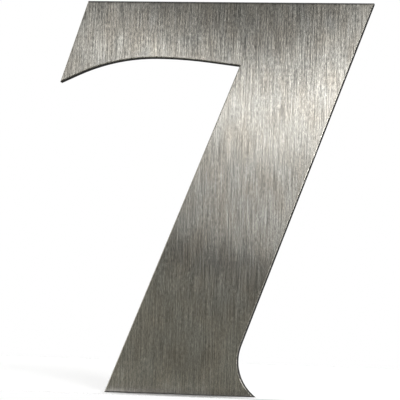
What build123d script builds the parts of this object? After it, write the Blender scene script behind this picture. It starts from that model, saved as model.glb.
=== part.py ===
from build123d import *
import os

# House number: a flat italic 7 cut from steel plate and fixed to the wall by three threaded studs.
# The origin is on the back of the plate, at the centre of the figure's height and width.
# X runs to the right as the figure is read, Z is up, and the front faces -Y.

# The figure
numeral_height = 150.0
numeral_width = 120.0
plate_thickness = 4.0
front_rim_radius = 0.4
back_rim_chamfer = 0.2

# The crossbar: its end leans from upright, and its arch falls away from level at each side
crossbar_end_angle = 17.2
crossbar_waist = 21.75
arch_crown_inset = 37.0
arch_tip_radius = 71.5
arch_tip_angle = 25.2
arch_stem_radius = 165.0
arch_stem_angle = 7.0

# The stem and its foot: both edges of the stem lean from upright, and the foot flares out to the right
stem_front_angle = 19.7
stem_back_angle = 20.85
foot_width = 57.45
flare_height = 19.2
flare_reach = 6.0

# The studs are M4 threaded rod, screwed into blind tapped holes in the back.
# Free thread has the rod's full radius, and engaged thread is drawn halfway down its flanks.
stud_radius = 2.0
stud_reach = 26.0
stud_end_chamfer = 0.5
thread_half_depth = 0.23
thread_clearance = 0.03
tapped_depth = 2.8
mouth_clearance = 0.2

# Where the studs stand: how far in from the figure's left tip, and how far down from its top
crossbar_stud_inset = 25.0
crossbar_stud_drop = 11.5
shoulder_stud_inset = 93.0
shoulder_stud_drop = 15.0
foot_stud_inset = 54.0
foot_stud_drop = 127.0

half_height = numeral_height / 2
half_width = numeral_width / 2
engaged_radius = stud_radius - thread_half_depth
tapped_radius = engaged_radius + thread_clearance
mouth_chamfer = stud_radius + mouth_clearance - tapped_radius
from_end = (Align.CENTER, Align.CENTER, Align.MIN)
stud_places = {
    "stud_crossbar": (crossbar_stud_inset, crossbar_stud_drop),
    "stud_shoulder": (shoulder_stud_inset, shoulder_stud_drop),
    "stud_foot": (foot_stud_inset, foot_stud_drop),
}


def leaning_down(angle):
    """The direction of an edge that leans to the left by this angle as it goes down."""
    return Vector(0, -1).rotate(Axis.Z, -angle)


def numeral_outline():
    """The figure as it is read: straight edges, an arched underside to the crossbar and a flared foot."""
    # The right edge runs straight down the stem, then curls out into the foot
    top_right = Vector(half_width, half_height)
    right_edge = leaning_down(stem_front_angle)
    flare_start = top_right + right_edge * ((flare_height - numeral_height) / right_edge.Y)
    foot_right = flare_start + Vector(flare_reach, -flare_height)
    flare = TangentArc(flare_start, foot_right, tangent=right_edge)
    foot_left = foot_right - Vector(foot_width, 0)

    # The arch has one arc each side of its crown, and each runs on as a straight line
    crown = Vector(arch_crown_inset - half_width, half_height - crossbar_waist)
    tip_arc = CenterArc(crown - Vector(0, arch_tip_radius), arch_tip_radius, 90, arch_tip_angle)
    stem_arc = CenterArc(crown - Vector(0, arch_stem_radius), arch_stem_radius, 90, -arch_stem_angle)
    left_limit = Line((-half_width, -half_height), (-half_width, half_height))
    tip_run = IntersectingLine(tip_arc @ 1, tip_arc % 1, left_limit)
    stem_limit = Line(stem_arc @ 1, (stem_arc @ 1) + (stem_arc % 1) * numeral_width)
    back_edge = IntersectingLine(foot_left, leaning_down(stem_back_angle) * -1, stem_limit)

    # The free end of the crossbar is cut at a slant, up from the tip
    tip = tip_run @ 1
    end_edge = leaning_down(crossbar_end_angle)
    top_left = tip + end_edge * ((half_height - tip.Y) / end_edge.Y)

    edges = [
        Line(top_left, top_right),
        Line(top_right, flare_start),
        flare,
        Line(foot_right, foot_left),
        back_edge,
        Line(back_edge @ 1, stem_arc @ 1),
        stem_arc,
        tip_arc,
        tip_run,
        Line(tip, top_left),
    ]
    return make_face(edges)


def stud_seat(place):
    """The plane on the plate's back at one stud, with Z pointing towards the wall."""
    inset, drop = place
    return Plane((inset - half_width, 0, half_height - drop), x_dir=(1, 0, 0), z_dir=(0, 1, 0))


def tapped_hole(place):
    """The blind hole that a stud is screwed into, as the metal taken away."""
    bore = Cylinder(tapped_radius, tapped_depth, align=from_end)
    return stud_seat(place) * Pos(0, 0, -tapped_depth) * bore


def numeral_plate():
    """The figure cut from plate, with its front rim rounded and its back rim and hole mouths broken."""
    plate = extrude(Plane.XZ * numeral_outline(), plate_thickness)
    front_face = plate.faces().sort_by(Axis.Y)[0]
    plate = fillet(front_face.edges(), front_rim_radius)
    back_face = plate.faces().sort_by(Axis.Y)[-1]
    plate = chamfer(back_face.edges(), back_rim_chamfer)
    for place in stud_places.values():
        plate = plate - tapped_hole(place)
    back_face = plate.faces().sort_by(Axis.Y)[-1]
    return chamfer(back_face.inner_wires().edges(), mouth_chamfer)


def threaded_stud(place):
    """One rod: its engaged end on the floor of the tapped hole, and its free end out behind the plate."""
    engaged_end = Pos(0, 0, -tapped_depth) * Cylinder(engaged_radius, tapped_depth, align=from_end)
    free_end = Cylinder(stud_radius, stud_reach, align=from_end)
    free_end = chamfer(free_end.edges().sort_by(Axis.Z)[-1], stud_end_chamfer)
    return stud_seat(place) * (engaged_end + free_end)


os.makedirs("parts", exist_ok=True)

export_step(numeral_plate(), "parts/numeral_plate.step")
for name, place in stud_places.items():
    export_step(threaded_stud(place), f"parts/{name}.step")
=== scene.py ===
import math

import bmesh
import bpy
from mathutils import Matrix, Vector


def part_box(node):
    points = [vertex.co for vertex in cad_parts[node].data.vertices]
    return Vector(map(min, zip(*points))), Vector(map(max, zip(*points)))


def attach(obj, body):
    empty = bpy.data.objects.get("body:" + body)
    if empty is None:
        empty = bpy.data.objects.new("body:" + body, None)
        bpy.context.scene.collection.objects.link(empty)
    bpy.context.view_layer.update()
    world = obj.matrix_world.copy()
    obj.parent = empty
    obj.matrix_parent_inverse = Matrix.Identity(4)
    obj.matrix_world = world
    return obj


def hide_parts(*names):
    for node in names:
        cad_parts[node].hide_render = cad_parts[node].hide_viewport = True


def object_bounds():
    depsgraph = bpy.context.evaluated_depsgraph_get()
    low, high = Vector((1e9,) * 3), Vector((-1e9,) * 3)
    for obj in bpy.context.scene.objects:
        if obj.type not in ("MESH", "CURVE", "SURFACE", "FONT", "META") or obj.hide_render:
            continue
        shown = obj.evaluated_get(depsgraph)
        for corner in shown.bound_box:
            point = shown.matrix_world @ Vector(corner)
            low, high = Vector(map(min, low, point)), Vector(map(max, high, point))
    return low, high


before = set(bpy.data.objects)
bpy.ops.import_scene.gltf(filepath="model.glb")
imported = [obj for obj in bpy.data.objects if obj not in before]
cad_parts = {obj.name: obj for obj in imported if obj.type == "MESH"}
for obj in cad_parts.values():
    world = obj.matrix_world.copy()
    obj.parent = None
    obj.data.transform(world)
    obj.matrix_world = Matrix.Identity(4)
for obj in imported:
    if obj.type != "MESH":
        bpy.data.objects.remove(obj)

bl_info = {
    "name": "House Number Seven",
    "version": (1, 0, 0),
    "blender": (4, 5, 0),
    "location": "3D View > Sidebar > House Number",
    "description": "Dresses a brushed steel house number, its fixing studs and a pale studio",
    "category": "Add Mesh",
}

CAD_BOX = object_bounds()
PLATE_LOW, PLATE_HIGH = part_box("numeral_plate")
STUD_NODES = sorted(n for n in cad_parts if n.startswith("stud_"))
MM = 0.001
WHITE = (1.0, 1.0, 1.0)

# The plate: its front rim's radius, how squarely a flat face faces front or back, and the
# angle up to which its faces are shaded as one.
RIM_RADIUS = 0.4 * MM
FLAT_FACE = 0.999
PLATE_CREASE = math.radians(28)
MERGE_DISTANCE = 0.002 * MM

# The studs: the depth of a standard outside thread as a share of its pitch, and the steps
# in one turn.
THREAD_DEPTH = 0.6134
TURN_STEPS = 32
ROD_CREASE = math.radians(35)
WELD_DISTANCE = 0.001 * MM

# Soft boxes: name, place across and up, height of the point they face, own height, power.
SOFT_BOXES = (
    ("band_box", 0.70, 0.285, 0.03, 0.07, 3.80),
    ("high_box", 0.20, 0.365, 0.03, 0.09, 0.02),
    ("bar_box", -0.10, 0.300, 0.03, 0.07, 0.023),
    ("left_box", -0.30, 0.215, 0.03, 0.07, 0.039),
    ("low_box", 0.20, 0.135, 0.0, 0.08, 0.19),
)

# Even lights: name, the way they shine, strength, softness in degrees.
EVEN_LIGHTS = (
    ("back_light", (-0.16, -0.62, -0.77), 1.24, 20),
    ("side_light", (0.17, -0.60, -0.78), 1.15, 20),
    ("shadow_light", (-0.275, 0.958, -0.0785), 5.0, 6),
)


class HouseNumberPlateSettings(bpy.types.PropertyGroup):
    steel_color: bpy.props.FloatVectorProperty(
        name="Steel", description="Colour of the brushed front", subtype="COLOR",
        size=3, min=0, max=1, default=(0.62, 0.595, 0.537))
    # The cut wall's colour is the cut's dark oxide, darkened further as painted shade.
    cut_color: bpy.props.FloatVectorProperty(
        name="Cut Wall", description="Colour of the laser-cut walls", subtype="COLOR",
        size=3, min=0, max=1, default=(0.032, 0.031, 0.030))
    back_color: bpy.props.FloatVectorProperty(
        name="Mill Back", description="Colour of the unbrushed back", subtype="COLOR",
        size=3, min=0, max=1, default=(0.56, 0.56, 0.55))
    scratch_color: bpy.props.FloatVectorProperty(
        name="Scratch", description="Colour of the bright scratches", subtype="COLOR",
        size=3, min=0, max=1, default=(0.95, 0.93, 0.89))
    dark_streak: bpy.props.FloatProperty(
        name="Dark Streak", description="Darkest streak, as a share of the steel's colour",
        min=0, max=1, default=0.24)
    light_streak: bpy.props.FloatProperty(
        name="Light Streak", description="Lightest streak, as a share of the steel's colour",
        min=1, max=3, default=1.73)
    stain_depth: bpy.props.FloatProperty(
        name="Stain Depth", description="How far the lower stem's stains darken and lighten it",
        min=0, max=0.5, default=0.16)
    brushed_roughness: bpy.props.FloatProperty(
        name="Brushed Roughness", description="Spread of the light across the grain",
        subtype="FACTOR", min=0, max=1, default=0.204)
    grain_width: bpy.props.FloatProperty(
        name="Grain Width", description="Width of one brushed streak",
        unit="LENGTH", min=0.0001, default=0.00037)
    grain_length: bpy.props.FloatProperty(
        name="Grain Length", description="Length of one brushed streak",
        unit="LENGTH", min=0.001, default=0.009)
    # top_shade and foot_shade size the painted shade beside the top rim and over the foot's rim.
    top_shade: bpy.props.FloatProperty(
        name="Top Shade", description="Height of the dark line under the top rim",
        unit="LENGTH", min=0.0001, default=0.0005)
    foot_shade: bpy.props.FloatProperty(
        name="Foot Shade", description="Height of the darkening over the foot's rim",
        unit="LENGTH", min=0.0001, default=0.0024)
    bow_slope: bpy.props.FloatProperty(
        name="Bow Slope", description="How far the sheet's faint bow leans, as a slope",
        min=0, max=0.02, precision=4, default=0.0103)
    bow_center: bpy.props.FloatProperty(
        name="Bow Centre", description="Where across the figure the bow leans up most",
        unit="LENGTH", default=0.0234)
    bow_length: bpy.props.FloatProperty(
        name="Bow Length", description="Distance from one bow to the next",
        unit="LENGTH", min=0.01, default=0.1545)
    bow_lean: bpy.props.FloatProperty(
        name="Bow Lean", description="How fast the bow's middle moves to the left towards the top",
        min=0, max=10, default=1.5)
    lean_start: bpy.props.FloatProperty(
        name="Lean Start", description="Height from which the bow's middle moves to the left",
        unit="LENGTH", default=0.02)


class HouseNumberStudSettings(bpy.types.PropertyGroup):
    rod_color: bpy.props.FloatVectorProperty(
        name="Rod", description="Colour of the threaded rod", subtype="COLOR",
        size=3, min=0, max=1, default=(0.60, 0.59, 0.57))
    crest_radius: bpy.props.FloatProperty(
        name="Crest Radius", description="Radius over the thread", unit="LENGTH",
        min=0.001, default=0.00199)
    thread_pitch: bpy.props.FloatProperty(
        name="Thread Pitch", description="Height of one turn of thread", unit="LENGTH",
        min=0.0002, default=0.0007)
    engaged_radius: bpy.props.FloatProperty(
        name="Engaged Radius", description="Radius inside the tapped hole", unit="LENGTH",
        min=0.001, default=0.00177)
    tip_chamfer: bpy.props.FloatProperty(
        name="Tip Chamfer", description="Chamfer at the free end", unit="LENGTH",
        min=0.0, default=0.0005)


class HouseNumberStageSettings(bpy.types.PropertyGroup):
    camera_place: bpy.props.FloatVectorProperty(
        name="Camera Place", description="Where the camera stands", subtype="TRANSLATION",
        unit="LENGTH", size=3, default=(0.09595, -0.72820, -0.06150))
    camera_yaw: bpy.props.FloatProperty(
        name="Yaw", description="How far the camera is turned to the left", subtype="ANGLE",
        default=math.radians(7.86))
    camera_pitch: bpy.props.FloatProperty(
        name="Pitch", description="How far the camera looks up", subtype="ANGLE",
        default=math.radians(4.715))
    camera_roll: bpy.props.FloatProperty(
        name="Roll", description="How far the camera leans", subtype="ANGLE",
        default=math.radians(1.94))
    camera_lens: bpy.props.FloatProperty(
        name="Lens", description="Focal length on a 36 mm wide sensor", unit="CAMERA",
        default=173.86)
    floor_color: bpy.props.FloatVectorProperty(
        name="Floor", description="Colour of the floor", subtype="COLOR",
        size=3, min=0, max=1, default=(0.95, 0.95, 0.95))
    floor_width: bpy.props.FloatProperty(
        name="Floor Width", description="How wide the floor is", unit="LENGTH",
        min=0.5, default=8.0)
    floor_front: bpy.props.FloatProperty(
        name="Floor in Front", description="Where the floor has faded out in front",
        unit="LENGTH", min=0.02, default=0.052)
    floor_back: bpy.props.FloatProperty(
        name="Floor Behind", description="How far the floor goes back", unit="LENGTH",
        min=0.1, default=9.0)
    front_grey: bpy.props.FloatVectorProperty(
        name="Front Grey", description="The dim studio in front of the numeral", subtype="COLOR",
        size=3, min=0, max=1, default=(0.051, 0.0506, 0.0455))
    ground_grey: bpy.props.FloatVectorProperty(
        name="Ground Grey", description="The studio's ground in front of the numeral",
        subtype="COLOR", size=3, min=0, max=1, default=(0.196, 0.194, 0.170))
    ground_rise: bpy.props.FloatProperty(
        name="Ground Rise", description="How far the ground's grey comes up, as a slope",
        min=-0.5, max=0.5, default=0.047)
    box_distance: bpy.props.FloatProperty(
        name="Box Distance", description="How far in front of the numeral the soft boxes stand",
        unit="LENGTH", min=0.2, default=1.55)
    box_width: bpy.props.FloatProperty(
        name="Box Width", description="Width of each soft box", unit="LENGTH",
        min=0.05, default=0.5)


def select_only(piece):
    """Make one object the only one selected, and the active one."""
    bpy.ops.object.select_all(action="DESELECT")
    piece.select_set(True)
    bpy.context.view_layer.objects.active = piece


def finish_piece(piece, slot, *nodes):
    """Hand a finished piece to the frame, in place of the CAD nodes that it stands for."""
    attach(piece, "root")
    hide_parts(*nodes)


class Nodes:
    """A material's node tree, with short ways to add and join nodes."""

    def __init__(self, material):
        material.use_nodes = True
        self.tree = material.node_tree
        self.tree.nodes.clear()

    def add(self, kind, **values):
        """A new node with these settings."""
        node = self.tree.nodes.new(kind)
        for key, value in values.items():
            setattr(node, key, value)
        return node

    def join(self, source, target):
        """Link one socket to another."""
        self.tree.links.new(source, target)

    def noise(self, coords, scale, detail=2.0, roughness=0.5, offset=(0, 0, 0)):
        """Noise with its own count of features per metre along X, Y and Z."""
        mapping = self.add("ShaderNodeMapping")
        mapping.inputs["Scale"].default_value = scale
        mapping.inputs["Location"].default_value = offset
        self.join(coords, mapping.inputs["Vector"])
        noise = self.add("ShaderNodeTexNoise")
        noise.inputs["Scale"].default_value = 1.0
        noise.inputs["Detail"].default_value = detail
        noise.inputs["Roughness"].default_value = roughness
        self.join(mapping.outputs["Vector"], noise.inputs["Vector"])
        return noise.outputs["Fac"]

    def ramp(self, value, low, high, out_low=0.0, out_high=1.0):
        """Stretch a value from one range to another, and clamp it there."""
        node = self.add("ShaderNodeMapRange")
        limits = {"From Min": low, "From Max": high, "To Min": out_low, "To Max": out_high}
        for name, number in limits.items():
            node.inputs[name].default_value = number
        self.join(value, node.inputs["Value"])
        return node.outputs["Result"]

    def maths(self, operation, *values):
        """One step of arithmetic on numbers or sockets."""
        node = self.add("ShaderNodeMath", operation=operation)
        for value, socket in zip(values, node.inputs):
            if isinstance(value, (int, float)):
                socket.default_value = value
            else:
                self.join(value, socket)
        return node.outputs[0]

    def axes(self, coords):
        """The X, Y and Z of a place, each as a socket."""
        split = self.add("ShaderNodeSeparateXYZ")
        self.join(coords, split.inputs[0])
        return split.outputs

    def mix(self, factor, first, second, blend="MIX"):
        """Blend two colours, each a colour or a socket."""
        node = self.add("ShaderNodeMix", data_type="RGBA", blend_type=blend)
        sockets = [s for s in node.inputs if s.enabled]
        for value, socket in zip((factor, first, second), sockets):
            if isinstance(value, bpy.types.NodeSocket):
                self.join(value, socket)
            elif isinstance(value, (int, float)):
                socket.default_value = value
            else:
                socket.default_value = (*value, 1.0)
        return [s for s in node.outputs if s.enabled][0]

    def bump(self, height, distance):
        """The normal of a surface that rises and falls by this height times the distance."""
        node = self.add("ShaderNodeBump")
        node.inputs["Strength"].default_value = 1.0
        node.inputs["Distance"].default_value = distance
        self.join(height, node.inputs["Height"])
        return node.outputs["Normal"]

    def finish(self, shader):
        """Make this shader the surface."""
        self.join(shader, self.add("ShaderNodeOutputMaterial").inputs["Surface"])

    def skin(self, color, roughness, metallic=1.0):
        """The surface's shader, with a colour and a roughness that follow its patterns."""
        bsdf = self.add("ShaderNodeBsdfPrincipled")
        bsdf.inputs["Metallic"].default_value = metallic
        self.join(color, bsdf.inputs["Base Color"])
        self.join(roughness, bsdf.inputs["Roughness"])
        self.finish(bsdf.outputs[0])
        return bsdf


def new_finish(name):
    """A new material, its nodes, and the coordinates of the piece that wears it."""
    material = bpy.data.materials.new(name)
    n = Nodes(material)
    return material, n, n.add("ShaderNodeTexCoord").outputs["Object"]


def tinted(color, gain, warmth=0.0):
    """A colour made lighter or darker, and warmer or cooler."""
    red, green, blue = color
    return (red * gain * (1 + warmth), green * gain, blue * gain * (1 - warmth))


def bowed_height(n, coords, settings):
    """The height of a faint bow in the sheet, whose middle moves to the left towards the top."""
    axes = n.axes(coords)
    above = n.maths("MAXIMUM", n.maths("SUBTRACT", axes["Z"], settings.lean_start), 0.0)
    lean = n.maths("MULTIPLY", n.maths("MULTIPLY", above, above), settings.bow_lean)
    place = n.maths("ADD", n.maths("SUBTRACT", axes["X"], settings.bow_center), lean)
    turns = n.maths("MULTIPLY", place, 2 * math.pi / settings.bow_length)
    rise = n.maths("MULTIPLY", n.maths("COSINE", turns), axes["Z"])
    return n.maths("MULTIPLY", rise, -settings.bow_slope)


def brushed_grain(n, coords, across, along):
    """Fine, long and broad streaks in their shares, from about 0.3 to 0.7."""
    fine = n.noise(coords, (across, 1, along * 6), detail=1.0)
    long = n.noise(coords, (across * 0.9, 1, along * 0.7), detail=1.0, offset=(7, 3, 1))
    broad = n.noise(coords, (across * 0.2, 1, along * 0.4), detail=1.0, offset=(31, 5, 9))
    grain = n.maths("ADD", n.maths("MULTIPLY", fine, 0.42), n.maths("MULTIPLY", long, 0.46))
    return n.maths("ADD", grain, n.maths("MULTIPLY", broad, 0.12))


def streaked_color(n, grain, height, settings):
    """The grain as dark and light streaks, which are stronger in the crossbar."""
    dark = tinted(settings.steel_color, settings.dark_streak)
    light = tinted(settings.steel_color, settings.light_streak)
    depth = n.ramp(height, 30 * MM, 52 * MM, 0.64, 1.0)
    cut = n.maths("MULTIPLY", n.ramp(grain, 0.32, 0.68, -0.5, 0.5), depth)
    return n.mix(n.maths("ADD", cut, 0.5), dark, light)


def rim_shade(n, height, settings):
    """Painted shade beside the top rim and over the foot's rim, where the face turns away."""
    top, foot = PLATE_HIGH.z - RIM_RADIUS, PLATE_LOW.z + RIM_RADIUS
    top_start, top_end = top - settings.top_shade, top - 0.6 * settings.top_shade
    top_shade = n.ramp(height, top_start, top_end, 1.0, 0.6)
    foot_shade = n.ramp(height, foot, foot + settings.foot_shade, 0.6, 1.0)
    return n.maths("MULTIPLY", top_shade, foot_shade)


def stem_stain(n, coords, height, settings):
    """Cloudy stains that come in down the stem, as a gain around 1."""
    cloud = n.noise(coords, (30, 1, 70), detail=1.0, offset=(5, 4, 2))
    low = n.ramp(height, -25 * MM, 0.0, 1.0, 0.0)
    cloudy = n.ramp(cloud, 0.3, 0.7, -settings.stain_depth, settings.stain_depth)
    return n.maths("ADD", n.maths("MULTIPLY", cloudy, low), 1.0)


def brushed_front_finish(settings):
    """Upright brushed grain with a few bright scratches, faint stains, a faint bow, and painted
    shade beside the top rim and over the foot.
    """
    material, n, coords = new_finish("brushed_front")
    height = n.axes(coords)["Z"]
    across, along = 1 / settings.grain_width, 1 / settings.grain_length
    grain = brushed_grain(n, coords, across, along)
    patch = n.noise(coords, (140, 1, 70), detail=2.0, offset=(3, 8, 2))
    warm, cool = tinted(WHITE, 0.96, 0.02), tinted(WHITE, 1.04, -0.02)
    hue = n.mix(n.ramp(patch, 0.35, 0.65), warm, cool)
    toned = n.mix(1.0, streaked_color(n, grain, height, settings), hue, blend="MULTIPLY")
    lines = n.noise(coords, (across * 0.9, 1, along * 0.6), detail=0.0, offset=(13, 2, 6))
    scratch = n.maths("MULTIPLY", n.ramp(lines, 0.66, 0.78), 0.6)
    scratched = n.mix(scratch, toned, settings.scratch_color)
    # The gain holds the painted shade along the top rim and over the foot, and the stem's stains.
    gain = n.maths("MULTIPLY", rim_shade(n, height, settings),
                   stem_stain(n, coords, height, settings))
    color = n.mix(1.0, scratched, gain, blend="MULTIPLY")
    spread = settings.brushed_roughness
    bsdf = n.skin(color, n.ramp(grain, 0.3, 0.7, spread - 0.02, spread + 0.02))
    bsdf.inputs["Anisotropic"].default_value = 1.0
    n.join(n.bump(bowed_height(n, coords, settings), 1.0), bsdf.inputs["Normal"])
    tangent = n.add("ShaderNodeTangent", direction_type="UV_MAP", uv_map="grain")
    n.join(tangent.outputs["Tangent"], bsdf.inputs["Tangent"])
    return material


def rim_finish(settings):
    """The lightly rounded rim: nicked, and lightened as a painted highlight."""
    material, n, coords = new_finish("worn_highlit_rim")
    nicks_and_highlight = n.noise(coords, (900, 900, 900), detail=2.0)
    # The light end, 1.4 times the steel, is a painted highlight; the noise spreads it as nicks.
    dark, light = tinted(settings.steel_color, 1.0), tinted(settings.steel_color, 1.4)
    n.skin(n.mix(nicks_and_highlight, dark, light), n.ramp(nicks_and_highlight, 0.3, 0.7, 0.22, 0.36))
    return material


def cut_wall_finish(settings):
    """Laser-cut wall: dull and lined through the thickness of the plate; dark with the cut's
    oxide, and darker still as painted shade.
    """
    material, n, coords = new_finish("cut_wall")
    lines = n.noise(coords, (3200, 160, 3200), detail=2.0, roughness=0.6)
    patch = n.noise(coords, (120, 400, 120), detail=2.0, offset=(2, 4, 6))
    shade = n.maths("ADD", n.maths("MULTIPLY", lines, 0.7), n.maths("MULTIPLY", patch, 0.3))
    # The cut's own dark, made darker as painted shade.
    dark, light = tinted(settings.cut_color, 0.65), tinted(settings.cut_color, 1.5)
    color = n.mix(n.ramp(shade, 0.3, 0.7), dark, light)
    bsdf = n.skin(color, n.ramp(shade, 0.3, 0.7, 0.68, 0.52), metallic=0.0)
    bsdf.inputs["Specular IOR Level"].default_value = 0.0
    n.join(n.bump(lines, 0.03 * MM), bsdf.inputs["Normal"])
    return material


def mill_back_finish(settings):
    """The back as the mill rolled it: grey, softly mottled and faintly lined."""
    material, n, coords = new_finish("mill_back")
    mottle = n.noise(coords, (420, 1, 420), detail=3.0, roughness=0.6)
    cloud = n.noise(coords, (40, 1, 60), detail=2.0, offset=(5, 1, 3))
    rolled = n.noise(coords, (60, 1, 2200), detail=2.0, offset=(1, 6, 2))
    shade = n.maths("ADD", n.maths("MULTIPLY", mottle, 0.5), n.maths("MULTIPLY", cloud, 0.5))
    dark, light = tinted(settings.back_color, 0.86), tinted(settings.back_color, 1.1)
    color = n.mix(n.ramp(shade, 0.3, 0.7), dark, light)
    bsdf = n.skin(color, n.ramp(shade, 0.3, 0.7, 0.34, 0.46))
    n.join(n.bump(n.maths("ADD", rolled, mottle), 0.01 * MM), bsdf.inputs["Normal"])
    return material


def rolled_thread_finish(settings):
    """Rolled thread, painted darker towards the roots as shade in the grooves, and lighter on the
    crests.
    """
    material, n, coords = new_finish("rolled_thread")
    height = n.add("ShaderNodeAttribute", attribute_name="crest").outputs["Fac"]
    speck = n.noise(coords, (1500, 1500, 1500), detail=2.0)
    # Painted shade: darker towards the thread's roots, lighter on its crests.
    dark, light = tinted(settings.rod_color, 0.45), tinted(settings.rod_color, 1.1)
    color = n.mix(n.ramp(height, 0.0, 1.0), dark, light)
    mottled = n.mix(n.ramp(speck, 0.3, 0.7), tinted(WHITE, 0.88), WHITE)
    n.skin(n.mix(1.0, color, mottled, blend="MULTIPLY"), n.ramp(speck, 0.3, 0.7, 0.28, 0.42))
    return material


def merged_plate():
    """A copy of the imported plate, merged into one clean skin of flat faces."""
    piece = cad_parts["numeral_plate"].copy()
    piece.data = piece.data.copy()
    piece.name = piece.data.name = "numeral_7_brushed"
    for key in [k for k in piece.keys() if k.startswith("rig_")]:
        del piece[key]
    piece.parent = None
    bpy.context.scene.collection.objects.link(piece)
    select_only(piece)
    bpy.ops.mesh.customdata_custom_splitnormals_clear()
    bpy.ops.object.mode_set(mode="EDIT")
    bpy.ops.mesh.select_all(action="SELECT")
    bpy.ops.mesh.remove_doubles(threshold=MERGE_DISTANCE)
    bpy.ops.mesh.dissolve_limited(angle_limit=math.radians(0.5))
    bpy.ops.object.mode_set(mode="OBJECT")
    return piece


def rim_limit(normal):
    """How squarely a rim face has to face the front to take the rim's painted highlight, not the
    wall's dark: least so on the left, most so on the right.
    """
    if normal.x < -0.2:
        return -0.5
    if normal.x > 0.3:
        return -0.9
    return -0.8


def face_kind(face):
    """Which finish a face of the plate takes, from the way it faces and where it lies."""
    if face.normal.y < -FLAT_FACE:
        return "front"
    if face.normal.y > FLAT_FACE:
        return "back"
    on_rim = face.center.y < PLATE_LOW.y + RIM_RADIUS
    # Rim faces along the top and the foot take the dark wall finish, as painted shade.
    between = PLATE_LOW.z + RIM_RADIUS < face.center.z < PLATE_HIGH.z - RIM_RADIUS
    if face.normal.y < rim_limit(face.normal) and on_rim and between:
        return "rim"
    return "wall"


def dress_plate(piece, settings):
    """Give each kind of face its finish, and lay the grain's map on the front."""
    finishes = {
        "front": brushed_front_finish(settings), "rim": rim_finish(settings),
        "wall": cut_wall_finish(settings), "back": mill_back_finish(settings),
    }
    piece.data.materials.clear()
    for finish in finishes.values():
        piece.data.materials.append(finish)
    kinds = list(finishes)
    grain = piece.data.uv_layers.new(name="grain")
    tall = PLATE_HIGH.z - PLATE_LOW.z
    for face in piece.data.polygons:
        face.material_index = kinds.index(face_kind(face))
        for corner in face.loop_indices:
            place = piece.data.vertices[piece.data.loops[corner].vertex_index].co
            grain.data[corner].uv = (
                (place.x - PLATE_LOW.x) / tall, (place.z - PLATE_LOW.z) / tall)
    select_only(piece)
    bpy.ops.object.shade_smooth_by_angle(angle=PLATE_CREASE)
    even = piece.modifiers.new("flat_front", "WEIGHTED_NORMAL")
    even.keep_sharp = True
    bpy.ops.object.modifier_apply(modifier=even.name)


class HOUSENUMBER_OT_plate(bpy.types.Operator):
    """Dress the numeral's plate: brushed front, rounded rim, cut walls and mill back"""
    bl_idname = "house_number.plate"
    bl_label = "Brushed Plate"

    def execute(self, context):
        piece = merged_plate()
        dress_plate(piece, context.scene.house_number_plate)
        finish_piece(piece, "brushed_plate", "numeral_plate")
        return {"FINISHED"}


def root_radius(settings):
    """The radius at the bottom of the thread."""
    return settings.crest_radius - settings.thread_pitch * THREAD_DEPTH


def thread_turn(settings):
    """One pitch of thread as a line of edges beside the Z axis: crest, flank, root, flank."""
    pitch = settings.thread_pitch
    crest, root = settings.crest_radius, root_radius(settings)
    # The crest is flat for an eighth of the pitch, the root for a quarter.
    steps = ((crest, 0.0), (crest, 0.125), (root, 0.4375), (root, 0.6875), (crest, 1.0))
    bpy.ops.object.select_all(action="DESELECT")
    bpy.ops.mesh.primitive_plane_add(size=pitch)
    profile = bpy.context.object
    bpy.ops.object.mode_set(mode="EDIT")
    shape = bmesh.from_edit_mesh(profile.data)
    shape.clear()
    points = [shape.verts.new((radius, 0, rise * pitch)) for radius, rise in steps]
    for low, high in zip(points, points[1:]):
        shape.edges.new((low, high))
    bmesh.update_edit_mesh(profile.data)
    bpy.ops.object.mode_set(mode="OBJECT")
    return profile


def threaded_rod(low, high, settings):
    """A rod of real helical thread along Z, made too long, then cut off at low and high."""
    rod = thread_turn(settings)
    screw = rod.modifiers.new("thread", "SCREW")
    screw.axis = "Z"
    screw.screw_offset = settings.thread_pitch
    screw.iterations = math.ceil((high - low) / settings.thread_pitch) + 3
    screw.steps = screw.render_steps = TURN_STEPS
    screw.use_merge_vertices = True
    screw.merge_threshold = WELD_DISTANCE
    select_only(rod)
    bpy.ops.object.modifier_apply(modifier="thread")
    bpy.ops.object.mode_set(mode="EDIT")
    bpy.ops.mesh.select_all(action="SELECT")
    bpy.ops.mesh.remove_doubles(threshold=WELD_DISTANCE)
    bpy.ops.transform.translate(value=(0, 0, low - 1.5 * settings.thread_pitch))
    for cut, way in ((low, -1), (high, 1)):
        bpy.ops.mesh.select_all(action="SELECT")
        bpy.ops.mesh.bisect(
            plane_co=(0, 0, cut), plane_no=(0, 0, way), use_fill=True, clear_outer=True,
            threshold=WELD_DISTANCE)
    bpy.ops.mesh.select_all(action="SELECT")
    bpy.ops.mesh.normals_make_consistent(inside=False)
    bpy.ops.object.mode_set(mode="OBJECT")
    return rod


def fit_rod(rod, high, settings):
    """Draw the thread in where it is engaged and at its chamfered tip.

    Each point keeps how high it stood on the thread in the attribute "crest".
    """
    crest = rod.data.attributes.new("crest", "FLOAT", "POINT")
    root = root_radius(settings)
    for i, vertex in enumerate(rod.data.vertices):
        radius = math.hypot(vertex.co.x, vertex.co.y)
        limit = settings.crest_radius
        if vertex.co.z < 0:
            limit = settings.engaged_radius
        if vertex.co.z > high - settings.tip_chamfer:
            limit -= vertex.co.z - (high - settings.tip_chamfer)
        crest.data[i].value = (radius - root) / (settings.crest_radius - root)
        if radius > limit:
            vertex.co.x *= limit / radius
            vertex.co.y *= limit / radius


def stand_rod(rod, node):
    """Turn a rod from Z to Y and set it in its tapped hole."""
    low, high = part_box(node)
    across, up = (low.x + high.x) / 2, (low.z + high.z) / 2
    turn = Matrix.Rotation(math.radians(-90), 4, "X")
    rod.data.transform(Matrix.Translation((across, 0, up)) @ turn)
    rod.name = rod.data.name = node + "_threaded"


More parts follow.
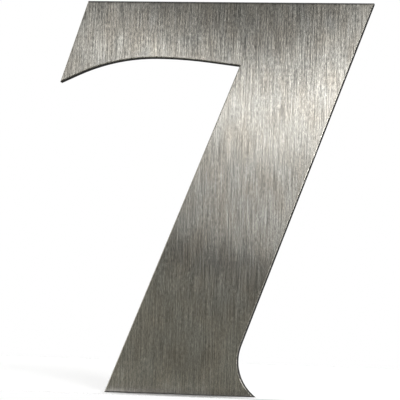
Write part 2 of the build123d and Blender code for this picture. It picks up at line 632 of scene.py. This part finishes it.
class HOUSENUMBER_OT_studs(bpy.types.Operator):
    """Model one threaded stud, and stand a copy in each hole in the plate's back"""
    bl_idname = "house_number.studs"
    bl_label = "Threaded Studs"

    def execute(self, context):
        settings = context.scene.house_number_studs
        finish = rolled_thread_finish(settings)
        low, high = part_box(STUD_NODES[0])
        pattern = threaded_rod(low.y, high.y, settings)
        fit_rod(pattern, high.y, settings)
        pattern.data.materials.append(finish)
        for number, node in enumerate(STUD_NODES):
            rod = pattern
            if number < len(STUD_NODES) - 1:
                rod = pattern.copy()
                rod.data = pattern.data.copy()
                bpy.context.scene.collection.objects.link(rod)
            stand_rod(rod, node)
            select_only(rod)
            bpy.ops.object.shade_smooth_by_angle(angle=ROD_CREASE)
            finish_piece(rod, "stud_rod", node)
        return {"FINISHED"}


def floor_finish(settings):
    """Pale floor, a little lifted to the eye and to mirrors; it keeps the object's shadow.

    It fades out in front of the numeral, and is clear from below.
    """
    material, n, coords = new_finish("pale_floor")
    rays = n.add("ShaderNodeLightPath").outputs
    seen = n.maths("MAXIMUM", rays["Is Camera Ray"], rays["Is Glossy Ray"])
    seen = n.maths("MAXIMUM", seen, rays["Is Transmission Ray"])
    diffuse = n.add("ShaderNodeBsdfDiffuse")
    diffuse.inputs["Color"].default_value = (*settings.floor_color, 1)
    lift = n.add("ShaderNodeEmission")
    n.join(n.maths("MULTIPLY", seen, 0.03), lift.inputs["Strength"])
    both = n.add("ShaderNodeAddShader")
    n.join(diffuse.outputs[0], both.inputs[0])
    n.join(lift.outputs[0], both.inputs[1])
    front = -settings.floor_front
    faded = n.ramp(n.axes(coords)["Y"], front, 0.6 * front, 1.0, 0.0)
    below = n.add("ShaderNodeNewGeometry").outputs["Backfacing"]
    clear = n.add("ShaderNodeBsdfTransparent")
    sided = n.add("ShaderNodeMixShader")
    n.join(n.maths("MAXIMUM", below, faded), sided.inputs[0])
    n.join(both.outputs[0], sided.inputs[1])
    n.join(clear.outputs[0], sided.inputs[2])
    n.finish(sided.outputs[0])
    return material


def lay_floor(settings):
    """A floor under the numeral's foot, short in front of it and long behind."""
    bpy.ops.object.select_all(action="DESELECT")
    bpy.ops.mesh.primitive_plane_add(size=1.0)
    floor = bpy.context.object
    floor.name = "studio_floor"
    floor.scale = (settings.floor_width, settings.floor_back + settings.floor_front, 1.0)
    floor.location = (0, (settings.floor_back - settings.floor_front) / 2, CAD_BOX[0].z)
    bpy.ops.object.transform_apply(location=True, rotation=False, scale=True)
    floor.data.materials.append(floor_finish(settings))


def hang_box(name, place, aim, width, height, power):
    """A soft box, turned to face a point."""
    bpy.ops.object.light_add(type="AREA", location=place)
    lamp = bpy.context.object
    lamp.name = name
    lamp.data.shape = "RECTANGLE"
    lamp.data.size, lamp.data.size_y = width, height
    lamp.data.energy = power
    turn = (Vector(aim) - Vector(place)).to_track_quat("-Z", "Y")
    lamp.matrix_world = Matrix.Translation(place) @ turn.to_matrix().to_4x4()


def shine(name, toward, energy, softness):
    """A broad, even light along one way, which doesn't show in reflections."""
    bpy.ops.object.light_add(type="SUN")
    lamp = bpy.context.object
    lamp.name = name
    lamp.data.energy = energy
    lamp.data.angle = math.radians(softness)
    lamp.matrix_world = Vector(toward).to_track_quat("-Z", "Y").to_matrix().to_4x4()
    lamp.visible_glossy = False


def set_sky(settings):
    """White to the eye; to all else white behind and beside, and a dim studio in front."""
    world = bpy.data.worlds.new("pale_studio")
    bpy.context.scene.world = world
    n = Nodes(world)
    way = n.axes(n.add("ShaderNodeTexCoord").outputs["Generated"])
    behind = n.ramp(way["Y"], 0.3, 0.8)
    beside = n.ramp(n.maths("ABSOLUTE", way["X"]), 0.65, 0.9)
    around = n.maths("MAXIMUM", behind, beside)
    raised = n.ramp(way["Z"], settings.ground_rise - 0.002, settings.ground_rise + 0.002)
    front = n.mix(raised, settings.ground_grey, settings.front_grey)
    studio = n.mix(around, front, WHITE)
    camera_ray = n.add("ShaderNodeLightPath").outputs["Is Camera Ray"]
    sky = n.add("ShaderNodeBackground")
    n.join(n.mix(camera_ray, studio, WHITE), sky.inputs["Color"])
    n.join(sky.outputs[0], n.add("ShaderNodeOutputWorld").inputs["Surface"])


def set_camera(settings):
    """The camera at the photograph's height and angle."""
    lens = bpy.data.cameras.new("camera")
    lens.lens = settings.camera_lens
    lens.sensor_width = 36.0
    lens.clip_start = 0.01
    camera = bpy.data.objects.new("camera", lens)
    bpy.context.scene.collection.objects.link(camera)
    camera.matrix_world = (
        Matrix.Translation(settings.camera_place)
        @ Matrix.Rotation(settings.camera_yaw, 4, "Z")
        @ Matrix.Rotation(math.pi / 2 + settings.camera_pitch, 4, "X")
        @ Matrix.Rotation(settings.camera_roll, 4, "Z"))
    bpy.context.scene.camera = camera


class HOUSENUMBER_OT_stage(bpy.types.Operator):
    """Lay the floor, hang the soft boxes and lights, and set the sky and the camera"""
    bl_idname = "house_number.stage"
    bl_label = "Studio Stage"

    def execute(self, context):
        settings = context.scene.house_number_stage
        lay_floor(settings)
        for name, across, up, aim, height, power in SOFT_BOXES:
            place = (across, -settings.box_distance, up)
            hang_box(name, place, (0, 0, aim), settings.box_width, height, power)
        for name, toward, energy, softness in EVEN_LIGHTS:
            shine(name, toward, energy, softness)
        set_sky(settings)
        set_camera(settings)
        context.scene.view_settings.view_transform = "Standard"
        return {"FINISHED"}


class HOUSENUMBER_PT_panel(bpy.types.Panel):
    """The steps that dress the house number"""
    bl_idname = "HOUSENUMBER_PT_panel"
    bl_label = "House Number"
    bl_space_type = "VIEW_3D"
    bl_region_type = "UI"
    bl_category = "House Number"

    def draw(self, context):
        for settings, operator in (
            (context.scene.house_number_plate, HOUSENUMBER_OT_plate),
            (context.scene.house_number_studs, HOUSENUMBER_OT_studs),
            (context.scene.house_number_stage, HOUSENUMBER_OT_stage),
        ):
            box = self.layout.box()
            for name in settings.__annotations__:
                box.prop(settings, name)
            box.operator(operator.bl_idname)


CLASSES = (
    HouseNumberPlateSettings, HouseNumberStudSettings, HouseNumberStageSettings,
    HOUSENUMBER_OT_plate, HOUSENUMBER_OT_studs, HOUSENUMBER_OT_stage, HOUSENUMBER_PT_panel,
)


def register():
    for item in CLASSES:
        bpy.utils.register_class(item)
    scene = bpy.types.Scene
    scene.house_number_plate = bpy.props.PointerProperty(type=HouseNumberPlateSettings)
    scene.house_number_studs = bpy.props.PointerProperty(type=HouseNumberStudSettings)
    scene.house_number_stage = bpy.props.PointerProperty(type=HouseNumberStageSettings)


def unregister():
    scene = bpy.types.Scene
    del scene.house_number_plate, scene.house_number_studs, scene.house_number_stage
    for item in reversed(CLASSES):
        bpy.utils.unregister_class(item)


def main():
    register()
    bpy.ops.house_number.plate()
    bpy.ops.house_number.studs()
    bpy.ops.house_number.stage()


if __name__ == "__main__":
    main()
